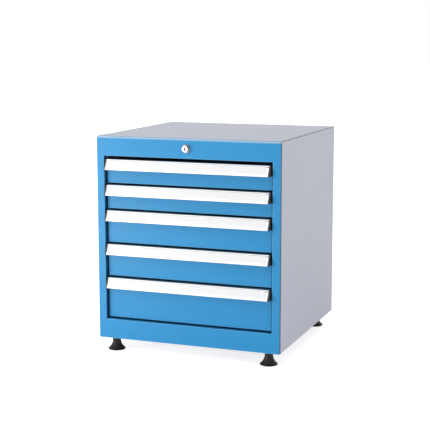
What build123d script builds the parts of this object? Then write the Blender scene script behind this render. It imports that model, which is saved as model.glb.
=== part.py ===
from build123d import *
import math
import os

# Sheet steel cabinet with five drawers, in millimetres. X runs to the right as seen from the
# front, the drawer fronts face -Y, and Z is up. The origin is on the floor, under the middle.

# Casing
case_width = 560
case_depth = 570
case_height = 600
foot_printed_height = 30
foot_wound_out = 10
foot_height = foot_printed_height + foot_wound_out
sheet = 1.5
bend = 0.5
corner = sheet + bend

# Front frame
stile_width = 23
header_height = 57
plinth_height = 58
frame_return = 5.5
frame_lip = 14
top_return = 15
opening_return = 24
opening_margin = 5

# Panels
panel_flange = 18
side_flange = 14
seam = 0.5
relief = 2
rivet_shank = 4
rivet_head = 8
rivet_rise = 1.3
rivet_round = 1
rivet_end_gap = 36
rivets_per_side = 5
rivet_hole_gap = 0.1

# Uprights that carry the rails
upright_width = 40
upright_front_gap = 4
upright_rear_inset = 10

# Drawers, each as high as its count of one module, from the top one down
drawer_modules = [3, 3, 4, 4, 5]
front_gap = 5
front_side_gap = 4.5
front_recess = 12
front_depth = 12
front_sheet = 1.2
front_lip = 12
tray_sheet = 1.2
tray_lift = 4
tray_headroom = 13
tray_lip = 7

# Telescopic rails
rail_depth = 12.8
rail_height = 35
rail_sheet = 1.6
rail_gap = 0.4
rail_set_back = 1
rail_rise = 28
rail_rear_space = 52.2

# Handles
handle_reach = 14
handle_height = 30
handle_ledge = 13
handle_nose = 4.5
handle_nose_round = 1.8
handle_wall = 2
handle_face_wall = 2.8
handle_foot = 28
cap_length = 5
cap_round = 1
strip_margin = 2.6
strip_lip = 1
strip_cover = 0.5
strip_thickness = 0.8
strip_gap = 0.1
strip_end_gap = 8

# Lock and the bar that it lifts
lock_bore = 6.05
lock_plug_radius = 6
lock_shank_radius = 9
lock_rim_radius = 12
lock_rim = 3
lock_rim_round = 1
lock_nose_radius = 10
lock_nose = 6
lock_nose_round = 1.5
lock_shank = 26
lock_hole_gap = 0.15
lock_plug_inset = 0.4
nut_across_flats = 26
nut_thickness = 5
key_slot_width = 2.2
key_slot_height = 8.5
key_slot_depth = 10
spindle_radius = 4
bearing_gap = 0.08
bearing_plate = 3
bearing_width = 30
bearing_foot = 14
crank_throw = 12.7
crank_thickness = 4
crank_pin_radius = 2.5
crank_pin_overrun = 2
crank_bar_gap = 1
bar_width = 24
bar_thickness = 3
bar_back_gap = 15.2
bar_slot_play = 0.5
bar_slot_reach = 4
bar_top_land = 6
bar_tail = 4
catch_reach = 20
catch_width = 20
catch_sheet = 2
catch_drop = 12
catch_inset = 4
hook_width = 16
hook_tip = 3
hook_height = 14
hook_gap = 2
hook_head_gap = 2
guide_width = 36
guide_height = 16
guide_cover = 3
guide_gap = 0.3
guide_hook_gap = 6
guide_cells = [1, 2, 3]

# Levelling feet, which turn in and out on their studs
foot_radius = 25.5
foot_rim = 3.5
foot_rim_round = 1.2
foot_neck_radius = 12.2
foot_flare_height = 29
foot_neck_inside = 4
foot_inset_x = 41
foot_inset_front = 32
foot_inset_rear = 60
foot_further_out = 10
stud_radius = 5
stud_gap = 0.1
stud_seat_gap = 0.02
stud_root = 8
stud_overrun = 2
stud_chamfer = 1
socket_gap = 0.5
socket_wall = 1.5
socket_head_gap = 1
socket_roof = 3
socket_boss_radius = 9
socket_boss_height = 10

# Two places closer than this are the same place
same_place = 0.001

# Places worked out from the sizes above
half_width = case_width / 2
nose_y = -(case_depth + handle_reach) / 2
face_y = nose_y + handle_reach
back_y = face_y + case_depth - rivet_rise
base_z = foot_height
top_z = foot_height + case_height
opening_half = half_width - stile_width
opening_bottom = base_z + plinth_height
opening_top = top_z - header_height
module_height = (opening_top - opening_bottom - 2 * opening_margin) / sum(drawer_modules)
drawer_pitches = [count * module_height for count in drawer_modules]
return_y = face_y + frame_return
panel_front_y = face_y + top_return
front_y = face_y + front_recess
front_rear_y = front_y + front_depth
tray_half = opening_half - rail_depth
rail_front_y = face_y + opening_return + rail_set_back
tray_back_y = back_y - sheet - rail_rear_space
rail_length = tray_back_y - rail_front_y
lock_z = top_z - header_height / 2
crank_lift = crank_throw * math.sqrt(2)
bar_x = -crank_throw * (1 + math.sqrt(0.5)) / 2
bar_back_y = back_y - sheet - bar_back_gap
bar_front_y = bar_back_y - bar_thickness
crank_y = bar_front_y - crank_bar_gap

AXES = {
    "x": (Plane.YZ, Vector(1, 0, 0)),
    "y": (Plane.XZ, Vector(0, 1, 0)),
    "z": (Plane.XY, Vector(0, 0, 1)),
}


def block(x_span, y_span, z_span):
    """Box between two corners, each span being its low and high end."""
    spans = (x_span, y_span, z_span)
    size = [high - low for low, high in spans]
    centre = [(low + high) / 2 for low, high in spans]
    return Pos(*centre) * Box(*size)


def prism(section, along, span):
    """Section drawn across an axis, extruded along it over the span."""
    plane, direction = AXES[along]
    low, high = span
    return extrude(Pos(*(direction * low)) * (plane * section), amount=high - low, dir=direction)


def rod(along, centre, radius, span):
    """Round bar along an axis, centre being its place across that axis."""
    return prism(Pos(*centre) * Circle(radius), along, span)


def bent_sheet(path, thickness, inner_radius):
    """Section of a bent sheet. The path is its outer face and the sheet lies left of it."""
    points = [Vector(*point) for point in path]
    runs = [(after - before).normalized() for before, after in zip(points, points[1:])]
    inner_points = []
    outer_radii = []
    inner_radii = []
    for index, point in enumerate(points):
        before = runs[max(index - 1, 0)]
        after = runs[min(index, len(runs) - 1)]
        turn = before.X * after.Y - before.Y * after.X
        left = Vector(-before.Y - after.Y, before.X + after.X).normalized()
        reach = thickness / left.dot(Vector(-after.Y, after.X))
        inner_points.append(point + left * reach)
        is_end = index in (0, len(points) - 1)
        outer_radii.append(0 if is_end else inner_radius + (thickness if turn > 0 else 0))
        inner_radii.append(0 if is_end else inner_radius + (0 if turn > 0 else thickness))
    outline = points + inner_points[::-1]
    radii = outer_radii + inner_radii[::-1]
    return make_face(FilletPolyline(*outline, radius=radii, close=True))


def edges_at(solid, along, value):
    """Edges that lie flat in the plane across an axis at a value."""
    axis = {"x": 0, "y": 1, "z": 2}[along]

    def lies_there(edge):
        box = edge.bounding_box()
        low = tuple(box.min)[axis]
        high = tuple(box.max)[axis]
        return abs(low - value) < same_place and abs(high - value) < same_place

    return [edge for edge in solid.edges() if lies_there(edge)]


def rounded(solid, along, value, radius):
    """Solid with the edges in one plane across an axis rounded."""
    return fillet(edges_at(solid, along, value), radius)


def mirrored(solid):
    """The same piece on the other side of the cabinet."""
    return mirror(solid, about=Plane.YZ)


def both_sides(solid):
    """A right-hand piece and its left-hand twin."""
    return [solid, mirrored(solid)]


def cell_bottoms():
    """Height of the bottom of each drawer's share of the opening, from the top one down."""
    level = opening_top - opening_margin
    bottoms = []
    for pitch in drawer_pitches:
        level -= pitch
        bottoms.append(level)
    return bottoms


def front_frame():
    """Welded frame round the drawers, with its returns folded to the back."""
    height = (base_z, top_z)
    frame = block((-half_width, half_width), (face_y, return_y), height)
    frame = rounded(frame, "y", face_y, corner)
    upright_edges = edges_at(frame, "x", half_width) + edges_at(frame, "x", -half_width)
    rear_edges = [edge for edge in upright_edges if edge.center().Y > return_y - same_place]
    frame = fillet(rear_edges, corner)
    inside = (base_z + sheet, top_z - sheet)
    inner_half = half_width - sheet
    frame -= block((-inner_half, inner_half), (face_y + sheet, return_y - sheet), inside)
    lip_half = half_width - frame_lip
    frame -= block((-lip_half, lip_half), (return_y - 2 * sheet, return_y + sheet), inside)
    for low, high, lip_low, lip_high in (
        (top_z - sheet, top_z, top_z - panel_flange, top_z - sheet),
        (base_z, base_z + sheet, base_z + sheet, base_z + panel_flange),
    ):
        frame += block((-inner_half, inner_half), (return_y - sheet, panel_front_y), (low, high))
        lip_y = (panel_front_y - sheet, panel_front_y)
        frame += block((-lip_half, lip_half), lip_y, (lip_low, lip_high))
    outer_half = opening_half + sheet
    opening_y = (face_y, face_y + opening_return)
    frame += block(
        (-outer_half, outer_half), opening_y, (opening_bottom - sheet, opening_top + sheet)
    )
    frame -= block(
        (-opening_half, opening_half),
        (face_y - sheet, face_y + opening_return + sheet),
        (opening_bottom, opening_top),
    )
    opening_edges = [
        edge
        for edge in edges_at(frame, "y", face_y)
        if abs(edge.center().X) < outer_half
        and opening_bottom - sheet < edge.center().Z < opening_top + sheet
    ]
    frame = fillet(opening_edges, sheet)
    return frame - lock_passage()


def lock_passage():
    """Hole through the header for the lock's shank."""
    span = (face_y - sheet, face_y + 2 * sheet)
    return rod("y", (0, lock_z), lock_shank_radius + lock_hole_gap, span)


def rivet_places():
    """Heights of the rivets along each side of the back panel."""
    low = base_z + rivet_end_gap
    high = top_z - rivet_end_gap
    step = (high - low) / (rivets_per_side - 1)
    return [low + step * index for index in range(rivets_per_side)]


def rivet_holes():
    """Holes for the rivets through the back panel and the side panels' flanges."""
    span = (back_y - 3 * sheet, back_y + sheet)
    radius = rivet_shank / 2 + rivet_hole_gap
    x = half_width - side_flange / 2
    holes = [rod("y", (x, z), radius, span) for z in rivet_places()]
    return [hole for right in holes for hole in both_sides(right)]


def side_panel():
    """Right side panel, with flanges folded in at the front and the back."""
    inner_x = half_width - side_flange
    rear_y = back_y - sheet
    path = [(inner_x, return_y), (half_width, return_y), (half_width, rear_y), (inner_x, rear_y)]
    panel = prism(bent_sheet(path, sheet, bend), "z", (base_z, top_z))
    flange_x = (inner_x - relief, half_width - sheet)
    flange_y = (return_y - relief, rear_y + relief)
    for end in ((base_z, base_z + sheet + relief), (top_z - sheet - relief, top_z)):
        panel -= block(flange_x, flange_y, end)
    return panel - rivet_holes()


def level_panel():
    """Top panel: a shallow pan between the side panels, with its flanges folded down."""
    outer_half = half_width - sheet
    low = top_z - panel_flange
    panel = block((-outer_half, outer_half), (panel_front_y, back_y), (low, top_z))
    panel = rounded(panel, "z", top_z, corner)
    inner_half = outer_half - sheet
    inner_y = (panel_front_y + sheet, back_y - sheet)
    panel -= block((-inner_half, inner_half), inner_y, (low - sheet, top_z - sheet))
    corner_x = (half_width - side_flange - relief, half_width)
    corner_y = (back_y - 2 * sheet - relief, back_y - sheet)
    for notch in both_sides(block(corner_x, corner_y, (low - sheet, top_z - sheet))):
        panel -= notch
    return panel


def bottom_panel():
    """The same pan upside down, with a hole for the neck of each foot."""
    middle = Plane.XY.offset((base_z + top_z) / 2)
    panel = mirror(level_panel(), about=middle)
    for place in foot_places().values():
        radius = foot_neck_radius + socket_gap
        panel -= rod("z", place, radius, (base_z - sheet, base_z + 2 * sheet))
    return panel


def back_panel():
    """Flat sheet riveted to the side panels' rear flanges."""
    half = half_width - relief
    low = base_z + panel_flange + seam
    high = top_z - panel_flange - seam
    return block((-half, half), (back_y - sheet, back_y), (low, high)) - rivet_holes()


def back_rivets():
    """Domed rivets that hold the back panel."""
    rivets = []
    for z in rivet_places():
        x = half_width - side_flange / 2
        head = rod("y", (x, z), rivet_head / 2, (back_y, back_y + rivet_rise))
        head = rounded(head, "y", back_y + rivet_rise, rivet_round)
        shank = rod("y", (x, z), rivet_shank / 2, (back_y - 2 * sheet - rivet_rise, back_y))
        rivets += both_sides(head + shank)
    return rivets


def uprights():
    """Four channels from the bottom panel to the top panel, two on each side."""
    far_x = half_width - 2 * sheet
    front = face_y + opening_return + upright_front_gap
    rear = rail_front_y + rail_length - upright_rear_inset - upright_width
    channels = []
    for y in (front, rear):
        far_y = y + upright_width
        path = [(far_x, far_y), (opening_half, far_y), (opening_half, y), (far_x, y)]
        span = (base_z + sheet, top_z - sheet)
        channels += both_sides(prism(bent_sheet(path, sheet, bend), "z", span))
    return channels


def rail_height_of(cell_bottom):
    """Height of a drawer's rails at their middle."""
    return cell_bottom + tray_lift + rail_rise


def rail_pair(outer_x, inner_x, half_height, opens_in, z):
    """A left and a right rail member with its web at outer_x and its flanges to inner_x."""
    path = [(inner_x, -half_height), (outer_x, -half_height)]
    path += [(outer_x, half_height), (inner_x, half_height)]
    if not opens_in:
        path = path[::-1]
    section = Pos(0, z) * bent_sheet(path, rail_sheet, bend)
    span = (rail_front_y, rail_front_y + rail_length)
    return both_sides(prism(section, "y", span))


def cabinet_rails():
    """Fixed rail members on the uprights, a pair for each drawer."""
    rails = []
    lip_x = tray_half + rail_sheet + rail_gap
    for bottom in cell_bottoms():
        z = rail_height_of(bottom)
        rails += rail_pair(opening_half, lip_x, rail_height / 2, True, z)
    return rails


def middle_rails(cell_bottom):
    """Telescopic members between the fixed ones and the drawer's own."""
    step = rail_sheet + rail_gap
    half = rail_height / 2 - step
    z = rail_height_of(cell_bottom)
    return rail_pair(opening_half - step, tray_half + step, half, True, z)


def drawer_rails(cell_bottom):
    """Rail members fastened to the tray's sides."""
    step = rail_sheet + rail_gap
    half = rail_height / 2 - 2 * step
    z = rail_height_of(cell_bottom)
    return rail_pair(tray_half, opening_half - 2 * step, half, False, z)


def catch_top(cell_bottom, pitch):
    """Height of the top of the catch behind a tray."""
    return cell_bottom + pitch - tray_headroom - catch_inset


def tray(cell_bottom, pitch):
    """Open sheet tray with rolled-in upper edges, and the lock's catch welded on its back."""
    low = cell_bottom + tray_lift
    high = cell_bottom + pitch - tray_headroom
    lip_x = tray_half - tray_lip
    path = [(-lip_x, high), (-tray_half, high), (-tray_half, low)]
    path += [(tray_half, low), (tray_half, high), (lip_x, high)]
    shell = prism(bent_sheet(path, tray_sheet, bend), "y", (front_rear_y, tray_back_y))
    inner_half = tray_half - tray_sheet
    wall_z = (low + tray_sheet, high)
    shell += block(
        (-inner_half, inner_half), (front_rear_y, front_rear_y + tray_sheet), wall_z
    )
    shell += block((-inner_half, inner_half), (tray_back_y - tray_sheet, tray_back_y), wall_z)
    lip_z = (high - tray_sheet, high)
    shell += block(
        (-inner_half, inner_half), (front_rear_y, front_rear_y + tray_lip), lip_z
    )
    shell += block((-inner_half, inner_half), (tray_back_y - tray_lip, tray_back_y), lip_z)
    return shell + catch(catch_top(cell_bottom, pitch))


def catch(top):
    """Bracket behind a tray, with a lip that hangs down at its rear end."""
    x_span = (bar_x - catch_width / 2, bar_x + catch_width / 2)
    rear = tray_back_y + catch_reach
    arm = block(x_span, (tray_back_y, rear), (top - catch_sheet, top))
    lip = block(x_span, (rear - catch_sheet, rear), (top - catch_drop, top))
    return arm + lip


def drawer_front(cell_bottom, pitch):
    """Folded sheet front with lips at its upper and lower rear edges."""
    half = opening_half - front_side_gap
    low = cell_bottom
    high = cell_bottom + pitch - front_gap
    panel = block((-half, half), (front_y, front_rear_y), (low, high))
    panel = rounded(panel, "y", front_y, front_sheet + bend)
    inner_half = half - front_sheet
    inner_z = (low + front_sheet, high - front_sheet)
    inner_y = (front_y + front_sheet, front_rear_y - front_sheet)
    panel -= block((-inner_half, inner_half), inner_y, inner_z)
    window = block(
        (-inner_half, inner_half),
        (front_rear_y - 2 * front_sheet, front_rear_y + front_sheet),
        (low + front_lip, high - front_lip),
    )
    return panel - window


def handle_outline(top):
    """Corners of the handle's outer face: ledge, slanted face and nose."""
    ledge = front_y - handle_ledge
    return [
        (front_y, top),
        (ledge, top),
        (nose_y, top - handle_height + handle_nose),
        (nose_y, top - handle_height),
    ]


def handle_section(top):
    """Whole section inside the handle's outer face, with the nose's lower corner rounded."""
    _, _, _, tip = handle_outline(top)
    section = make_face(Polyline(*handle_outline(top), (front_y, tip[1]), close=True))
    corners = [at for at in section.vertices() if math.dist(tip, (at.X, at.Y)) < same_place]
    return fillet(corners, handle_nose_round)


def slanted_place(top):
    """Location whose X runs down the slanted face and whose Y points into the wall."""
    _, upper, lower, _ = handle_outline(top)
    angle = math.degrees(math.atan2(lower[1] - upper[1], lower[0] - upper[0]))
    return Pos(*upper) * Rot(0, 0, angle)


def slant_length():
    """Length of the slanted face, from the ledge to the nose."""
    _, upper, lower, _ = handle_outline(0)
    return math.dist(upper, lower)


def handle(cell_bottom, pitch):
    """Extruded grip along the front's upper edge, open beneath, with a groove for a label."""
    top = cell_bottom + pitch - front_gap
    half = opening_half - front_side_gap - cap_length
    _, _, _, tip = handle_outline(top)
    inner_corner = (front_y - handle_wall, top - handle_wall)
    hollow = make_face(
        Polyline(
            inner_corner,
            (nose_y, top - handle_wall),
            (nose_y, tip[1] - handle_wall),
            (front_y - handle_wall, tip[1] - handle_wall),
            close=True,
        )
    )
    length = slant_length()
    place = slanted_place(top)
    face_wall = Pos(length / 2, handle_face_wall / 2) * Rectangle(2 * length, handle_face_wall)
    nose_wall = Pos(nose_y + handle_wall / 2, top - handle_height / 2) * Rectangle(
        handle_wall, 2 * handle_height
    )
    section = handle_section(top) - (hollow - place * face_wall - nose_wall)
    section -= Pos(front_y - handle_wall / 2, tip[1]) * Rectangle(
        handle_wall + strip_gap, 2 * (handle_height - handle_foot)
    )
    section -= label_groove(top)
    return prism(section, "x", (-half, half))


def label_groove(top):
    """Groove in the slanted face, wider inside than at its mouth."""
    place = slanted_place(top)
    length = slant_length()
    depth = strip_cover + strip_thickness + 2 * strip_gap
    channel_depth = depth - strip_cover
    channel = Pos(length / 2, depth - channel_depth / 2) * Rectangle(
        length - 2 * strip_margin, channel_depth
    )
    mouth_width = length - 2 * (strip_margin + strip_lip)
    mouth = Pos(length / 2, 0) * Rectangle(mouth_width, 2 * depth)
    return place * (channel + mouth)


def label_strip(cell_bottom, pitch):
    """Blank strip that slides in the handle's groove."""
    top = cell_bottom + pitch - front_gap
    half = opening_half - front_side_gap - cap_length
    length = slant_length()
    middle = strip_cover + strip_gap + strip_thickness / 2
    width = length - 2 * (strip_margin + strip_gap)
    section = Pos(length / 2, middle) * Rectangle(width, strip_thickness)
    return prism(slanted_place(top) * section, "x", (-half, half - strip_end_gap))


def handle_caps(cell_bottom, pitch):
    """Moulded caps that close the handle's ends."""
    top = cell_bottom + pitch - front_gap
    half = opening_half - front_side_gap
    cap = prism(handle_section(top), "x", (half - cap_length, half))
    cap = rounded(cap, "x", half, cap_round)
    return both_sides(cap)


def lock_housing():
    """Round lock case with a rim on the header and a bore for the plug."""
    centre = (0, lock_z)
    rim_y = face_y - lock_rim
    tip_y = rim_y - lock_nose
    nose = rod("y", centre, lock_nose_radius, (tip_y, rim_y))
    nose = rounded(nose, "y", tip_y, lock_nose_round)
    rim = rod("y", centre, lock_rim_radius, (rim_y, face_y))
    rim = rounded(rim, "y", rim_y, lock_rim_round)
    shank = rod("y", centre, lock_shank_radius, (face_y, face_y + lock_shank))
    bore = rod("y", centre, lock_bore, (tip_y - lock_rim, face_y + lock_shank + lock_rim))
    return nose + rim + shank - bore


def lock_nut():
    """Hexagon nut that clamps the housing behind the header's face."""
    front = face_y + sheet
    section = RegularPolygon(nut_across_flats / 2, 6, major_radius=False)
    section -= Circle(lock_shank_radius + lock_hole_gap)
    return prism(Pos(0, lock_z) * section, "y", (front, front + nut_thickness))


def lock_plug():
    """Turning plug with an upright key slot in its face."""
    tip_y = face_y - lock_rim - lock_nose + lock_plug_inset
    plug = rod("y", (0, lock_z), lock_plug_radius, (tip_y, face_y + lock_shank + lock_rim))
    slot = block(
        (-key_slot_width / 2, key_slot_width / 2),
        (tip_y - lock_rim, tip_y + key_slot_depth),
        (lock_z - key_slot_height / 2, lock_z + key_slot_height / 2),
    )
    return plug - slot


def crank_pin_place():
    """Place of the crank's pin at rest, half a right angle below level."""
    step = crank_throw * math.sqrt(0.5)
    return (-step, lock_z - step)


def lock_spindle():
    """Long spindle behind the plug, with a crank and its pin at the rear end."""
    centre = (0, lock_z)
    front = face_y + lock_shank + lock_rim
    spindle = rod("y", centre, spindle_radius, (front, crank_y))
    crank_span = (crank_y - crank_thickness, crank_y)
    pin = crank_pin_place()
    middle = ((centre[0] + pin[0]) / 2, (centre[1] + pin[1]) / 2)
    outline = Pos(*middle) * Rot(0, 0, 45) * Rectangle(crank_throw, 2 * spindle_radius)
    arm = prism(outline, "y", crank_span)
    for place in (centre, pin):
        arm += rod("y", place, spindle_radius, crank_span)
    pin_end = bar_back_y + crank_pin_overrun
    return spindle + arm + rod("y", pin, crank_pin_radius, (crank_y, pin_end))


def hook_top(cell_bottom, pitch):
    """Height of a hook's tip at rest, below the catch's lip."""
    return catch_top(cell_bottom, pitch) - catch_sheet - hook_head_gap - crank_lift


def lock_bar():
    """Upright bar behind the drawers, with a slot for the crank and a hook for each tray."""
    _, pin_z = crank_pin_place()
    slot_half = crank_pin_radius + bar_slot_play
    top = pin_z + slot_half + bar_top_land
    lowest = hook_top(cell_bottoms()[-1], drawer_pitches[-1]) - hook_height - bar_tail
    bar_span = (bar_x - bar_width / 2, bar_x + bar_width / 2)
    bar = block(bar_span, (bar_front_y, bar_back_y), (lowest, top))
    slot_length = 2 * (slot_half + bar_slot_reach)
    slot = Pos(bar_x, pin_z) * SlotOverall(slot_length, 2 * slot_half)
    bar -= prism(slot, "y", (bar_front_y - sheet, bar_back_y + sheet))
    for bottom, pitch in zip(cell_bottoms(), drawer_pitches):
        bar += hook(hook_top(bottom, pitch))
    return bar


def hook(tip_top):
    """Hook that reaches forward from the bar and turns up in front of a catch's lip."""
    x_span = (bar_x - hook_width / 2, bar_x + hook_width / 2)
    lip_y = tray_back_y + catch_reach - catch_sheet
    tip_span = (lip_y - hook_gap - hook_tip, lip_y - hook_gap)
    bottom = tip_top - hook_height
    arm = block(x_span, (tip_span[0], bar_front_y), (bottom, bottom + hook_tip))
    return arm + block(x_span, tip_span, (bottom, tip_top))


def lock_guides():
    """Guide blocks on the back panel for the bar, and the spindle's bearing bracket."""
    guides = []
    channel_half = bar_width / 2 + guide_gap
    channel_y = (bar_front_y - guide_gap, bar_back_y + guide_gap)
    channel_x = (bar_x - channel_half, bar_x + channel_half)
    for cell in guide_cells:
        under_hook = hook_top(cell_bottoms()[cell], drawer_pitches[cell]) - hook_height
        high = under_hook - guide_hook_gap
        low = high - guide_height
        x_span = (bar_x - guide_width / 2, bar_x + guide_width / 2)
        guide = block(x_span, (bar_front_y - guide_cover, back_y - sheet), (low, high))
        guides.append(guide - block(channel_x, channel_y, (low - sheet, high + sheet)))
    return guides + [spindle_bearing()]


def spindle_bearing():
    """Bracket under the top panel that carries the spindle's rear end."""
    rear = crank_y - crank_thickness - crank_bar_gap
    half = bearing_width / 2
    under_top = top_z - sheet
    low = lock_z - half
    plate = block((-half, half), (rear - bearing_plate, rear), (low, under_top))
    foot = block((-half, half), (rear - bearing_foot, rear), (under_top - bearing_plate, under_top))
    hole = rod("y", (0, lock_z), spindle_radius + bearing_gap, (rear - bearing_foot, rear + sheet))
    return plate + foot - hole


def foot_places():
    """Middle of each foot on plan."""
    x = half_width - foot_inset_x
    front = face_y + foot_inset_front
    rear = back_y + rivet_rise - foot_inset_rear
    return {
        "front_left": (-x, front),
        "front_right": (x, front),
        "rear_left": (-x, rear),
        "rear_right": (x, rear),
    }


def foot_pad(place):
    """Bell-shaped foot, flat underneath, whose neck runs up into its socket."""
    high = foot_height + foot_neck_inside
    neck_top = (foot_neck_radius, high)
    flare_top = (foot_neck_radius, foot_flare_height)
    rim_top = (foot_radius, foot_rim)
    outline = Polyline(flare_top, neck_top, (0, high), (0, 0), (foot_radius, 0), rim_top)
    flare = TangentArc(flare_top, rim_top, tangent=(0, -1))
    bell = revolve(Plane.XZ * make_face([outline, flare]), axis=Axis.Z)
    bell = rounded(bell, "z", 0, foot_rim_round)
    bell = rounded(bell, "z", foot_rim, foot_rim_round)
    seat = rod("z", (0, 0), stud_radius + stud_seat_gap, (stud_root, high + socket_gap))
    return Pos(*place, 0) * (bell - seat)


def socket_ceiling():
    """Height that a foot's neck stays under when the foot is turned right in."""
    return base_z + foot_neck_inside + foot_wound_out + socket_head_gap


def foot_stud(place):
    """Threaded stud of a foot, shown at its outside size."""
    boss_top = socket_ceiling() + socket_roof + socket_boss_height
    top = boss_top + foot_further_out + stud_overrun
    stud = rod("z", place, stud_radius, (stud_root, top))
    return chamfer(edges_at(stud, "z", top), stud_chamfer)


def foot_sockets():
    """Welded cups on the bottom panel, with a threaded boss on top of each."""
    sockets = []
    low = base_z + sheet
    ceiling = socket_ceiling()
    roof = ceiling + socket_roof
    inner = foot_neck_radius + socket_gap
    for place in foot_places().values():
        cup = rod("z", place, inner + socket_wall, (low, roof))
        cup -= rod("z", place, inner, (low - sheet, ceiling))
        boss = rod("z", place, socket_boss_radius, (roof, roof + socket_boss_height))
        bore = rod("z", place, stud_radius + stud_gap, (low, roof + 2 * socket_boss_height))
        sockets.append(cup + boss - bore)
    return sockets


def drawer_nodes():
    """Every piece of the five drawers by name, the top drawer being number 1."""
    nodes = {}
    for number, (bottom, pitch) in enumerate(zip(cell_bottoms(), drawer_pitches), start=1):
        name = f"drawer_{number}"
        nodes[f"{name}_tray"] = tray(bottom, pitch)
        nodes[f"{name}_front"] = drawer_front(bottom, pitch)
        nodes[f"{name}_handle"] = handle(bottom, pitch)
        nodes[f"{name}_handle_caps"] = handle_caps(bottom, pitch)
        nodes[f"{name}_label_strip"] = label_strip(bottom, pitch)
        nodes[f"{name}_drawer_rails"] = drawer_rails(bottom)
        nodes[f"{name}_middle_rails"] = middle_rails(bottom)
    return nodes


def casing_nodes():
    """Every piece that stays still."""
    right = side_panel()
    return {
        "front_frame": front_frame(),
        "right_side_panel": right,
        "left_side_panel": mirrored(right),
        "top_panel": level_panel(),
        "bottom_panel": bottom_panel(),
        "back_panel": back_panel(),
        "back_rivets": back_rivets(),
        "uprights": uprights(),
        "cabinet_rails": cabinet_rails(),
        "lock_housing": lock_housing(),
        "lock_nut": lock_nut(),
        "lock_guides": lock_guides(),
        "foot_sockets": foot_sockets(),
    }


def moving_nodes():
    """The lock's moving pieces and the feet."""
    nodes = {
        "lock_plug": lock_plug(),
        "lock_spindle": lock_spindle(),
        "lock_bar": lock_bar(),
    }
    for name, place in foot_places().items():
        nodes[f"foot_{name}_pad"] = foot_pad(place)
        nodes[f"foot_{name}_stud"] = foot_stud(place)
    return nodes


def write_nodes():
    """One STEP file for each node."""
    os.makedirs("parts", exist_ok=True)
    nodes = {**casing_nodes(), **moving_nodes(), **drawer_nodes()}
    for name, shape in nodes.items():
        solids = shape if isinstance(shape, list) else [shape]
        pieces = [solid for piece in solids for solid in piece.solids()]
        whole = pieces[0] if len(pieces) == 1 else Compound(children=pieces)
        whole.label = name
        export_step(whole, f"parts/{name}.step")


write_nodes()
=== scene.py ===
import math

import bpy
from mathutils import Matrix, Vector


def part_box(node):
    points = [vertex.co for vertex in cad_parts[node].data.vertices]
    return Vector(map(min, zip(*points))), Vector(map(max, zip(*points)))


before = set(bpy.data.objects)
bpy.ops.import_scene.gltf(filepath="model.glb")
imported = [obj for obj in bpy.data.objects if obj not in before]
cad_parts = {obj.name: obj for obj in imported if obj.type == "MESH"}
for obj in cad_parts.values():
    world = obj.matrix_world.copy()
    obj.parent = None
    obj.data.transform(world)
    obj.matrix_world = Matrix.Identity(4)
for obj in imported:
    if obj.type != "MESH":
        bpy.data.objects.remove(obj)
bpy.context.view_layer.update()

CORNERS = ("front_left", "front_right", "rear_left", "rear_right")
DRAWERS = range(1, 6)

# Colours, as linear light
BLUE = (0.012, 0.285, 0.610)
# Painted highlight on the blue paint's rounded bends
BLUE_BEND_HIGHLIGHT = (0.200, 0.500, 0.760)
# Painted highlight along the top rim of the blue front
BLUE_RIM_HIGHLIGHT = (0.480, 0.640, 0.770)
# Painted highlight on the inner bends of the front frame's opening
BLUE_LIP_HIGHLIGHT = (0.200, 0.600, 0.930)
GREY = (0.545, 0.570, 0.660)
# Painted highlight on the grey paint's rounded bends
GREY_BEND_HIGHLIGHT = (0.620, 0.640, 0.710)
TRAY_GREY = (0.560, 0.580, 0.640)
# Painted highlight on the tray paint's rounded bends
TRAY_BEND_HIGHLIGHT = (0.672, 0.696, 0.768)
# Painted shade along the seam between the front frame and the side panels
SEAM_SHADE = (0.006, 0.060, 0.140)
ZINC = (0.600, 0.620, 0.650)
ALUMINIUM = (0.740, 0.743, 0.750)
NICKEL = (0.820, 0.825, 0.830)
# Painted blue reflection on the lock's sides at a glancing angle
NICKEL_SIDE_REFLECTION = (0.200, 0.450, 0.600)
LABEL_WHITE = (0.965, 0.965, 0.970)
CAP_BLACK = (0.028, 0.029, 0.032)
GUIDE_BLACK = (0.020, 0.020, 0.022)
FOOT_BLACK = (0.015, 0.011, 0.009)
FLOOR_WHITE = (0.850, 0.850, 0.850)
WHITE = (1.0, 1.0, 1.0)

# Places of the shade and highlights painted on the cabinet, in metres. X is the distance from the
# middle of the width, Y runs to the back and Z up. A pair holds the places where a mark starts and
# ends to fade, and a pair called FADE counts from the middle line of its mark. DRAWER_END_X and
# LIT_X are on the right side only.
SIDE_X = (0.2775, 0.2790)
BEND_X = (0.2765, 0.2775)
FRONT_SEAM_Y = -0.2715
FRONT_SEAM_FADE = (0.0035, 0.0055)
TOP_SHADE_X = (0.2730, 0.2750)
TOP_SHADE_Y = (0.2830, 0.2850)
TOP_SHADE_Z = (0.6370, 0.6380)
TOP_Z = (0.600, 0.630)
RIM_Z = (0.6335, 0.6380)
LIP_X = 0.2578
LIP_FADE = (0.0016, 0.0020)
RETURN_X = 0.2575
RETURN_FADE = (0.0011, 0.0015)
RETURN_Y = (-0.2650, -0.2600)
DRAWER_END_X = 0.2515
DRAWER_END_FADE = (0.0020, 0.0024)
LIT_X = (0.10, 0.20)
CREASE_Y = -0.2803
CREASE_FADE = (0.0003, 0.0006)
LEDGE_FADE = (0.0, 0.0004)
KEYWAY_FADE = (0.0017, 0.0026)

# Keyway's oval, as its width against its height, the wave of the turned rings in radians to the
# metre, and the studs' thread in metres
KEYWAY_OVAL = (1, 0, 0.42)
RING_WAVE = 18000.0
THREAD_PITCH = 0.0015
THREAD_DEPTH = 0.0008

# Cosines between which a face passes from one way to another
LEVEL = (0.70, 0.90)
UPRIGHT = (0.80, 0.98)
SQUARE = (0.90, 0.98)
BENT = (0.93, 0.995)
SHARP = (0.86, 0.995)
NICKEL_SIDE = (0.50, 0.985)

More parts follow.
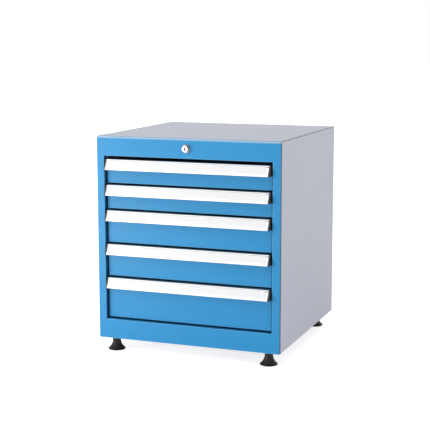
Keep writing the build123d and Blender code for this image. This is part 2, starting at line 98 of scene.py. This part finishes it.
# How far the shade painted in gaps reaches, in metres, and the shares of open sky where that
# painted shade is full and where it ends
PANEL_REACH = 0.006
FRONT_REACH = 0.011
RETURN_REACH = 0.030
RAIL_REACH = 0.012
LOCK_REACH = 0.004
SHUT_SKY = 0.20
OPEN_SKY = 0.90
FRONT_SKY = 0.68
RETURN_SKY = 0.98
RAIL_SKY = 0.80

# How strongly a painted highlight or painted shade covers the colour under it, and how much of
# the painted gap shade is left out where the light falls
BEND_SHARE = 0.90
RIM_SHARE = 0.85
CREASE_SHARE = 0.80
LEDGE_SHARE = 0.22
KEYWAY_SHARE = 0.90
LIT_SHARE = 0.90

METAL = {"Metallic": 1.0}

# Floor: half its width, the painted glow that it shows about the cabinet, the distances from the
# cabinet between which that glow rises to white, and the same for a painted pool of glow before
# the left corner, which also shows in the cabinet's reflections
FLOOR_HALF = 30.0
NEAR_GLOW = 0.66
NEAR_FADE = (0.6, 3.5)
BRIGHT_SPOT = (-0.75, -1.05, 0)
BRIGHT_FADE = (0.3, 1.3)

# Share of the world's white that lights the object, and the soft boxes: name, place, size, level
WORLD_LEVEL = 0.51
LAMP_TARGET = (0, 0, 0.34)
LAMPS = [
    ("left low", (-2.2, -2.0, 0.35), (0.8, 0.6), 0.33),
    ("left floor", (-1.1, -1.6, 0.10), (0.5, 0.16), 0.06),
    ("upper front", (-1.5, -2.8, 3.0), (2.4, 1.6), 0.09),
    ("upper left", (-2.4, -2.4, 2.4), (2.0, 1.6), 0.08),
    ("top", (-1.6, 1.2, 2.8), (2.0, 2.0), 0.12),
    ("right low", (3.0, -1.6, 0.6), (1.2, 1.0), 0.09),
    ("rear", (0.9, 3.6, 1.4), (2.0, 1.4), 0.15),
]

# The photograph's own standpoint, in metres, with the roll in degrees and the lens in millimetres
CAMERA_PLACE = (1.2146, -3.2572, 0.9340)
CAMERA_TARGET = (-0.0205, 0.0070, 0.3793)
CAMERA_ROLL = -0.057
CAMERA_LENS = 95.9
SENSOR_WIDTH = 36.0


def tinted(colour, factor=1.0):
    """Opaque colour, with its parts made lighter or darker by a factor."""
    return (*[min(1.0, part * factor) for part in colour], 1.0)


class Tree:
    """Node tree of a material or of the world, filled a node at a time."""

    def __init__(self, owner):
        owner.use_nodes = True
        self.owner = owner
        self.tree = owner.node_tree
        self.tree.nodes.clear()

    def add(self, kind, inputs=None, **settings):
        """New node, whose inputs are values or the sockets that feed them."""
        node = self.tree.nodes.new(kind)
        for name, value in settings.items():
            setattr(node, name, value)
        for name, value in (inputs or {}).items():
            if isinstance(value, bpy.types.NodeSocket):
                self.tree.links.new(value, node.inputs[name])
            else:
                node.inputs[name].default_value = value
        return node

    def maths(self, operation, *values):
        inputs = dict(enumerate(values))
        return self.add("ShaderNodeMath", inputs, operation=operation).outputs[0]

    def product(self, first, *others):
        for other in others:
            first = self.maths("MULTIPLY", first, other)
        return first

    def inverse(self, share):
        return self.maths("SUBTRACT", 1.0, share)

    def ranged(self, value, low, high, start=0.0, end=1.0):
        """Value from start to end, mapped to low to high."""
        inputs = {"Value": value, "From Min": start, "From Max": end, "To Min": low, "To Max": high}
        return self.add("ShaderNodeMapRange", inputs, clamp=True).outputs[0]

    def rising(self, value, start, end):
        """0 up to the start, 1 from the end on."""
        return self.ranged(value, 0.0, 1.0, start, end)

    def falling(self, value, start, end):
        """1 up to the start, 0 from the end on."""
        return self.ranged(value, 1.0, 0.0, start, end)

    def seen(self):
        """1 for what the camera sees, also in mirrors and through glass, 0 for what lights."""
        path = self.add("ShaderNodeLightPath").outputs
        sent_on = self.maths("MAXIMUM", path["Is Glossy Ray"], path["Is Transmission Ray"])
        return self.maths("MAXIMUM", path["Is Camera Ray"], sent_on)


class Graph(Tree):
    """Node tree of a new material."""

    def __init__(self, name):
        super().__init__(bpy.data.materials.new(name))
        self.place = self.add("ShaderNodeTexCoord").outputs["Object"]

    def vector_maths(self, operation, first, second=(0, 0, 0)):
        node = self.add("ShaderNodeVectorMath", {0: first, 1: second}, operation=operation)
        return node.outputs["Value" if operation in ("DOT_PRODUCT", "LENGTH") else "Vector"]

    def parts(self, vector):
        """The three parts of a vector."""
        return self.add("ShaderNodeSeparateXYZ", {0: vector}).outputs

    def noise(self, scale, detail=2.0, stretch=(1, 1, 1)):
        """Even noise about 0.5, with a number of bumps to the metre."""
        place = self.vector_maths("MULTIPLY", self.place, stretch)
        inputs = {"Vector": place, "Scale": scale, "Detail": detail}
        return self.add("ShaderNodeTexNoise", inputs).outputs[0]

    def mixed(self, share, first, second):
        """First colour, covered by a share of the second."""
        inputs = {0: share, 6: first, 7: second}
        return self.add("ShaderNodeMix", inputs, data_type="RGBA").outputs[2]

    def bumped(self, height, depth, normal=None):
        """Normal of a surface that a height from 0 to 1 raises by a depth in metres."""
        inputs = {"Height": height, "Distance": depth, "Strength": 1.0}
        if normal is not None:
            inputs["Normal"] = normal
        return self.add("ShaderNodeBump", inputs).outputs[0]

    def along(self, axis):
        """Place on one axis, in metres."""
        return self.parts(self.place)["XYZ".index(axis)]

    def aside(self):
        """Distance from the middle of the width, in metres."""
        return self.maths("ABSOLUTE", self.along("X"))

    def strip(self, value, middle, fade):
        """1 near the middle value, 0 beyond the fade on both sides of it."""
        off = self.maths("ABSOLUTE", self.maths("SUBTRACT", value, middle))
        return self.falling(off, *fade)

    def way(self):
        """The surface's own direction."""
        return self.add("ShaderNodeNewGeometry").outputs["Normal"]

    def facing(self, direction):
        """Cosine between the surface's way and a direction."""
        return self.vector_maths("DOT_PRODUCT", self.way(), direction)

    def edges(self, radius):
        """1 on sharp edges and bends, 0 on the flat."""
        soft = self.add("ShaderNodeBevel", {"Radius": radius}, samples=6).outputs[0]
        return self.falling(self.vector_maths("DOT_PRODUCT", soft, self.way()), *SHARP)

    def bends(self):
        """1 on the rounded bends of a folded sheet, 0 on its flat sides."""
        sizes = [self.maths("ABSOLUTE", part) for part in self.parts(self.way())]
        most = self.maths("MAXIMUM", self.maths("MAXIMUM", sizes[0], sizes[1]), sizes[2])
        return self.falling(most, *BENT)

    def crevice_shade(self, reach, open_sky=OPEN_SKY):
        """Mask for painted shade: 1 deep in gaps and seams no wider than the reach, 0 in the open.
        """
        node = self.add("ShaderNodeAmbientOcclusion", {"Distance": reach}, samples=8)
        return self.falling(node.outputs["AO"], SHUT_SKY, open_sky)

    def front_seam_shade(self):
        """1 where shade is painted along the seam between the front frame and the side panels, 0
        elsewhere.
        """
        beside = self.strip(self.along("Y"), FRONT_SEAM_Y, FRONT_SEAM_FADE)
        return self.product(beside, self.rising(self.aside(), *SIDE_X))

    def top_edge_shade(self):
        """1 where shade is painted along the top's edges beside the sides and the back, 0
        elsewhere.
        """
        level = self.rising(self.facing((0, 0, 1)), *LEVEL)
        beside = self.rising(self.aside(), *TOP_SHADE_X)
        behind = self.rising(self.along("Y"), *TOP_SHADE_Y)
        flat = self.product(self.maths("MAXIMUM", beside, behind), level)
        upright = self.product(self.inverse(level), self.rising(self.along("Z"), *TOP_SHADE_Z))
        high = self.rising(self.along("Z"), *TOP_Z)
        return self.product(self.maths("MAXIMUM", flat, upright), high)

    def upper_rim_highlight(self):
        """1 where a highlight is painted on the uppermost millimetres of the casing's upright
        faces, 0 elsewhere.
        """
        upright = self.falling(self.facing((0, 0, 1)), *UPRIGHT)
        return self.product(self.rising(self.along("Z"), *RIM_Z), upright)

    def opening_lip_highlight(self):
        """1 where a highlight is painted beside the upright edges of the front frame's opening, 0
        elsewhere.
        """
        return self.strip(self.aside(), LIP_X, LIP_FADE)

    def lit_front(self):
        """Share of the painted gap shade left out on forward faces, more to the right, where light
        falls.
        """
        ahead = self.ranged(self.facing((0, -1, 0)), 0.0, LIT_SHARE, *SQUARE)
        return self.product(ahead, self.rising(self.along("X"), *LIT_X))

    def recess_shade(self):
        """1 where shade is painted on the returns beside the opening, in front of the drawers'
        fronts.
        """
        beside = self.strip(self.aside(), RETURN_X, RETURN_FADE)
        sideways = self.rising(self.maths("ABSOLUTE", self.facing((1, 0, 0))), *SQUARE)
        near = self.falling(self.along("Y"), *RETURN_Y)
        return self.product(beside, sideways, near, self.crevice_shade(RETURN_REACH, RETURN_SKY))

    def finished(self, shade, gloss, normal, others):
        """The material, with its colour, roughness, normal and other inputs joined up."""
        inputs = {"Base Color": shade, "Roughness": gloss, "Normal": normal, **others}
        shader = self.add("ShaderNodeBsdfPrincipled", inputs)
        self.add("ShaderNodeOutputMaterial", {"Surface": shader.outputs[0]})
        return self.owner


def powder_coat(
    name, colour, bend_highlight, roughness, grain_depth, peel_depth=0.000030, top_edges_shaded=False, front=False
):
    """Baked powder paint: orange peel with a finer grain, painted highlights on bends, painted
    shade in gaps.

    The casing's paint has shade painted along the top's edges, and the front's paint has painted
    highlights and shade of its own.
    """
    graph = Graph(name)
    cloud = graph.noise(scale=5.0, detail=3.0)
    speck = graph.noise(scale=2600.0, detail=1.0)
    shade = graph.mixed(cloud, tinted(colour, 0.965), tinted(colour, 1.035))
    shade = graph.mixed(graph.ranged(speck, 0.0, 0.10), shade, tinted(colour, 1.25))
    # Painted shade along the seam between the front frame and the side panels
    shade = graph.mixed(graph.front_seam_shade(), shade, tinted(SEAM_SHADE))
    if top_edges_shaded:
        # Painted shade along the top's edges
        shade = graph.mixed(graph.top_edge_shade(), shade, tinted(colour, 0.45))
    edge = graph.bends()
    bend_highlight_share = graph.ranged(graph.aside(), BEND_SHARE, 0.0, *BEND_X)
    if front:
        # The drawer fronts' right ends get no painted gap shade and no painted bend highlight
        clear = graph.inverse(graph.strip(graph.along("X"), DRAWER_END_X, DRAWER_END_FADE))
        gap = graph.crevice_shade(FRONT_REACH, FRONT_SKY)
        # Less painted shade on forward faces towards the right
        gap = graph.product(gap, graph.inverse(graph.lit_front()), clear)
        # Painted shade on the returns beside the opening
        gap = graph.maths("MAXIMUM", gap, graph.recess_shade())
        bend_highlight_share = graph.maths("MINIMUM", bend_highlight_share, clear)
    else:
        gap = graph.crevice_shade(PANEL_REACH)
    # Painted shade in gaps, and on the front also on the returns beside the opening
    shade = graph.mixed(gap, shade, tinted(colour, 0.12))
    # Painted highlight on the rounded bends, kept off the outer corners
    shade = graph.mixed(graph.product(edge, bend_highlight_share), shade, tinted(bend_highlight))
    if front:
        # Painted highlight along the top rim
        shade = graph.mixed(graph.product(graph.upper_rim_highlight(), RIM_SHARE), shade, tinted(BLUE_RIM_HIGHLIGHT))
        # Painted highlight on the opening's inner bends
        shade = graph.mixed(graph.product(graph.opening_lip_highlight(), edge), shade, tinted(BLUE_LIP_HIGHLIGHT))
    gloss = graph.noise(scale=60.0, detail=3.0)
    gloss = graph.ranged(gloss, roughness - 0.04, roughness + 0.04)
    gloss = graph.maths("ADD", gloss, graph.product(edge, 0.06))
    peel = graph.bumped(graph.noise(scale=520.0, detail=1.0), peel_depth)
    grain = graph.bumped(graph.noise(scale=2200.0), grain_depth, peel)
    return graph.finished(shade, gloss, grain, {"IOR": 1.5})


def extruded_aluminium(name, colour):
    """Satin anodised extrusion: faint drawing lines along X, and painted shade along a crease over
    the face.
    """
    graph = Graph(name)
    lines = graph.noise(scale=900.0, detail=3.0, stretch=(0.004, 1, 1))
    cloud = graph.noise(scale=14.0)
    shade = graph.mixed(lines, tinted(colour, 0.97), tinted(colour, 1.03))
    shade = graph.mixed(graph.ranged(cloud, 0.0, 0.3), shade, tinted(colour, 0.98))
    # Painted shade along the sharp edges
    edge = graph.product(graph.edges(radius=0.0012), 0.6)
    shade = graph.mixed(edge, shade, tinted(colour, 0.45))
    # Painted shade along the crease, and lighter painted shade on the ledge behind it
    crease = graph.product(graph.strip(graph.along("Y"), CREASE_Y, CREASE_FADE), CREASE_SHARE)
    behind = graph.maths("SUBTRACT", graph.along("Y"), CREASE_Y)
    ledge = graph.ranged(behind, 0.0, LEDGE_SHARE, *LEDGE_FADE)
    shade = graph.mixed(graph.maths("MAXIMUM", crease, ledge), shade, tinted(colour, 0.5))
    # Painted shade in gaps
    shade = graph.mixed(graph.crevice_shade(PANEL_REACH), shade, tinted(colour, 0.25))
    gloss = graph.ranged(lines, 0.34, 0.44)
    return graph.finished(shade, gloss, graph.bumped(lines, depth=0.000010), METAL)


def zinc_plate(name, colour, stretch):
    """Zinc plated steel: faint rolling lines, cloudy spangle, duller edges, painted shade in gaps.
    """
    graph = Graph(name)
    lines = graph.noise(scale=1100.0, detail=3.0, stretch=stretch)
    cloud = graph.noise(scale=35.0, detail=4.0)
    shade = graph.mixed(cloud, tinted(colour, 0.88), tinted(colour, 1.08))
    shade = graph.mixed(graph.ranged(lines, 0.0, 0.25), shade, tinted(colour, 0.8))
    # Painted shade in gaps
    shade = graph.mixed(graph.crevice_shade(RAIL_REACH, RAIL_SKY), shade, tinted(colour, 0.15))
    gloss = graph.ranged(graph.maths("ADD", lines, cloud), 0.28, 0.46, start=0.6, end=1.4)
    gloss = graph.maths("ADD", gloss, graph.product(graph.edges(radius=0.0008), 0.12))
    return graph.finished(shade, gloss, graph.bumped(lines, depth=0.000008), METAL)


def moulded_plastic(name, colour, roughness, grain_depth, cloud_share=0.06, index=1.48):
    """Moulded plastic with a spark-eroded grain and painted highlights on its edges."""
    graph = Graph(name)
    cloud = graph.noise(scale=22.0)
    grain = graph.noise(scale=3200.0)
    shade = graph.mixed(cloud, tinted(colour, 1 - cloud_share), tinted(colour, 1 + cloud_share))
    # Painted highlight along the edges
    edge = graph.product(graph.edges(radius=0.0006), 0.35)
    shade = graph.mixed(edge, shade, tinted(colour, 1.8))
    gloss = graph.ranged(grain, roughness - 0.05, roughness + 0.07)
    return graph.finished(shade, gloss, graph.bumped(grain, grain_depth), {"IOR": index})


def turned_nickel(name, centre):
    """Polished nickel: faint rings round the lock's axis, painted shade on its sides and in its
    keyway.
    """
    graph = Graph(name)
    offset = graph.vector_maths("SUBTRACT", graph.place, tuple(centre))
    flat = graph.vector_maths("MULTIPLY", offset, (1, 0, 1))
    radius = graph.vector_maths("LENGTH", flat)
    rings = graph.maths("SINE", graph.product(radius, RING_WAVE))
    cloud = graph.noise(scale=120.0)
    shade = graph.mixed(cloud, tinted(NICKEL, 0.95), tinted(NICKEL, 1.03))
    # Sides painted nearly black, as painted shade
    side = graph.falling(graph.facing((0, -1, 0)), *NICKEL_SIDE)
    shade = graph.mixed(side, shade, tinted(NICKEL, 0.05))
    # Keyway painted dark, as painted shade
    oval = graph.vector_maths("MULTIPLY", flat, KEYWAY_OVAL)
    keyway = graph.falling(graph.vector_maths("LENGTH", oval), *KEYWAY_FADE)
    shade = graph.mixed(graph.product(keyway, KEYWAY_SHARE), shade, tinted(NICKEL, 0.03))
    # Painted shade in gaps
    shade = graph.mixed(graph.crevice_shade(LOCK_REACH), shade, tinted(NICKEL, 0.04))
    gloss = graph.ranged(cloud, 0.16, 0.28)
    # Painted blue reflection on the sides at a glancing angle
    glancing_reflection = graph.mixed(side, tinted(WHITE), tinted(NICKEL_SIDE_REFLECTION))
    normal = graph.bumped(graph.rising(rings, -1.0, 1.0), depth=0.000003)
    return graph.finished(shade, gloss, normal, {**METAL, "Specular Tint": glancing_reflection})


def screw_thread(name, centre, pitch):
    """Zinc plated stud whose thread winds round its own axis, with shade painted in its roots."""
    graph = Graph(name)
    parts = graph.parts(graph.vector_maths("SUBTRACT", graph.place, (centre.x, centre.y, 0)))
    turn = graph.maths("DIVIDE", graph.maths("ARCTAN2", parts[1], parts[0]), 2 * math.pi)
    climb = graph.maths("DIVIDE", parts[2], pitch)
    crest = graph.maths("PINGPONG", graph.maths("SUBTRACT", climb, turn), 0.5)
    crest = graph.rising(crest, 0.0, 0.5)
    # Thread roots painted darker, as painted shade
    shade = graph.mixed(crest, tinted(ZINC, 0.45), tinted(ZINC))
    gloss = graph.ranged(graph.noise(scale=300.0), 0.28, 0.42)
    return graph.finished(shade, gloss, graph.bumped(crest, THREAD_DEPTH), METAL)


def dress(node_name, material):
    """Gives a CAD node its material."""
    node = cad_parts[node_name]
    node.data.materials.clear()
    node.data.materials.append(material)


def middle_of(node_name):
    low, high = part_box(node_name)
    return (low + high) / 2


def dress_nodes():
    """Gives every CAD node its material."""
    blue = powder_coat(
        "blue powder coat", BLUE, BLUE_BEND_HIGHLIGHT, roughness=0.40, grain_depth=0.000008, front=True
    )
    grey = powder_coat(
        "grey powder coat", GREY, GREY_BEND_HIGHLIGHT, roughness=0.50, grain_depth=0.000020, top_edges_shaded=True
    )
    tray_paint = powder_coat(
        "tray powder coat", TRAY_GREY, TRAY_BEND_HIGHLIGHT, roughness=0.42, grain_depth=0.000008,
        peel_depth=0.000025,
    )
    steel_upright = zinc_plate("zinc plate upright", ZINC, stretch=(1, 1, 0.01))
    steel_along = zinc_plate("zinc plate along", ZINC, stretch=(1, 0.01, 1))
    aluminium = extruded_aluminium("anodised aluminium", ALUMINIUM)
    label = moulded_plastic(
        "white label strip", LABEL_WHITE, roughness=0.34, grain_depth=0.000004, cloud_share=0.01
    )
    cap = moulded_plastic("black caps", CAP_BLACK, roughness=0.42, grain_depth=0.000012)
    guide = moulded_plastic("black guides", GUIDE_BLACK, roughness=0.50, grain_depth=0.000012)
    foot = moulded_plastic(
        "black feet", FOOT_BLACK, roughness=0.46, grain_depth=0.000020, cloud_share=0.10,
        index=1.33,
    )
    nickel = turned_nickel("nickel lock", middle_of("lock_housing"))
    dressed = [
        (blue, ["front_frame"]),
        (grey, ["right_side_panel", "left_side_panel", "top_panel", "bottom_panel", "back_panel"]),
        (steel_upright, ["back_rivets", "uprights", "lock_bar", "foot_sockets"]),
        (steel_along, ["cabinet_rails", "lock_spindle"]),
        (guide, ["lock_guides"]),
        (nickel, ["lock_housing", "lock_nut", "lock_plug"]),
        (foot, [f"foot_{corner}_pad" for corner in CORNERS]),
    ]
    for material, node_names in dressed:
        for node_name in node_names:
            dress(node_name, material)
    for corner in CORNERS:
        stud = f"foot_{corner}_stud"
        dress(stud, screw_thread(f"stud thread {corner}", middle_of(stud), THREAD_PITCH))
    of_drawer = {
        "tray": tray_paint, "front": blue, "handle": aluminium, "handle_caps": cap,
        "label_strip": label, "drawer_rails": steel_along, "middle_rails": steel_along,
    }
    for number in DRAWERS:
        for piece, material in of_drawer.items():
            dress(f"drawer_{number}_{piece}", material)


def add_object(name, data):
    """New object in the scene."""
    holder = bpy.data.objects.new(name, data)
    bpy.context.scene.collection.objects.link(holder)
    return holder


def make_floor():
    """Pale floor that shows white where no shadow lies, through a painted glow also seen in
    reflections.
    """
    mesh = bpy.data.meshes.new("floor")
    corners = [
        (-FLOOR_HALF, -FLOOR_HALF, 0), (FLOOR_HALF, -FLOOR_HALF, 0),
        (FLOOR_HALF, FLOOR_HALF, 0), (-FLOOR_HALF, FLOOR_HALF, 0),
    ]
    mesh.from_pydata(corners, [], [(0, 1, 2, 3)])
    floor = add_object("floor", mesh)
    graph = Graph("pale floor")
    from_cabinet = graph.vector_maths("LENGTH", graph.place)
    from_spot = graph.vector_maths("SUBTRACT", graph.place, BRIGHT_SPOT)
    from_spot = graph.vector_maths("LENGTH", from_spot)
    # Painted glow: white far from the cabinet, and a painted pool of glow before the left corner
    far = graph.ranged(from_cabinet, NEAR_GLOW, 1.0, *NEAR_FADE)
    spot = graph.ranged(from_spot, 1.0, NEAR_GLOW, *BRIGHT_FADE)
    level = graph.product(graph.seen(), graph.maths("MAXIMUM", far, spot))
    diffuse = graph.add("ShaderNodeBsdfDiffuse", {"Color": tinted(FLOOR_WHITE)})
    glow = graph.add("ShaderNodeEmission", {"Color": tinted(WHITE), "Strength": level})
    both = graph.add("ShaderNodeAddShader", {0: diffuse.outputs[0], 1: glow.outputs[0]})
    graph.add("ShaderNodeOutputMaterial", {"Surface": both.outputs[0]})
    mesh.materials.append(graph.owner)


def make_world():
    """White surroundings, which light the object less than they show."""
    world = bpy.data.worlds.new("studio")
    tree = Tree(world)
    strength = tree.ranged(tree.seen(), WORLD_LEVEL, 1.0)
    inputs = {"Color": tinted(WHITE), "Strength": strength}
    background = tree.add("ShaderNodeBackground", inputs)
    tree.add("ShaderNodeOutputWorld", {"Surface": background.outputs[0]})
    bpy.context.scene.world = world


def aimed(place, target):
    """Turn of a lamp or camera that looks from a place at a target."""
    return (Vector(target) - Vector(place)).to_track_quat("-Z", "Y")


def make_lamp(name, place, size, level):
    """Soft box aimed at the cabinet, whose level is the light it gives at that distance."""
    lamp = bpy.data.lights.new(name, "AREA")
    lamp.shape = "RECTANGLE"
    lamp.size, lamp.size_y = size
    distance = (Vector(LAMP_TARGET) - Vector(place)).length
    lamp.energy = level * math.pi ** 2 * distance ** 2
    holder = add_object(name, lamp)
    holder.location = place
    holder.rotation_euler = aimed(place, LAMP_TARGET).to_euler()


def make_camera():
    """Camera at the photograph's own standpoint."""
    camera = bpy.data.cameras.new("camera")
    camera.lens = CAMERA_LENS
    camera.sensor_width = SENSOR_WIDTH
    holder = add_object("camera", camera)
    holder.location = CAMERA_PLACE
    roll = Matrix.Rotation(math.radians(CAMERA_ROLL), 3, "Z")
    holder.rotation_euler = (aimed(CAMERA_PLACE, CAMERA_TARGET).to_matrix() @ roll).to_euler()
    bpy.context.scene.camera = holder


dress_nodes()
make_floor()
make_world()
for lamp in LAMPS:
    make_lamp(*lamp)
make_camera()
bpy.context.scene.view_settings.view_transform = "Standard"
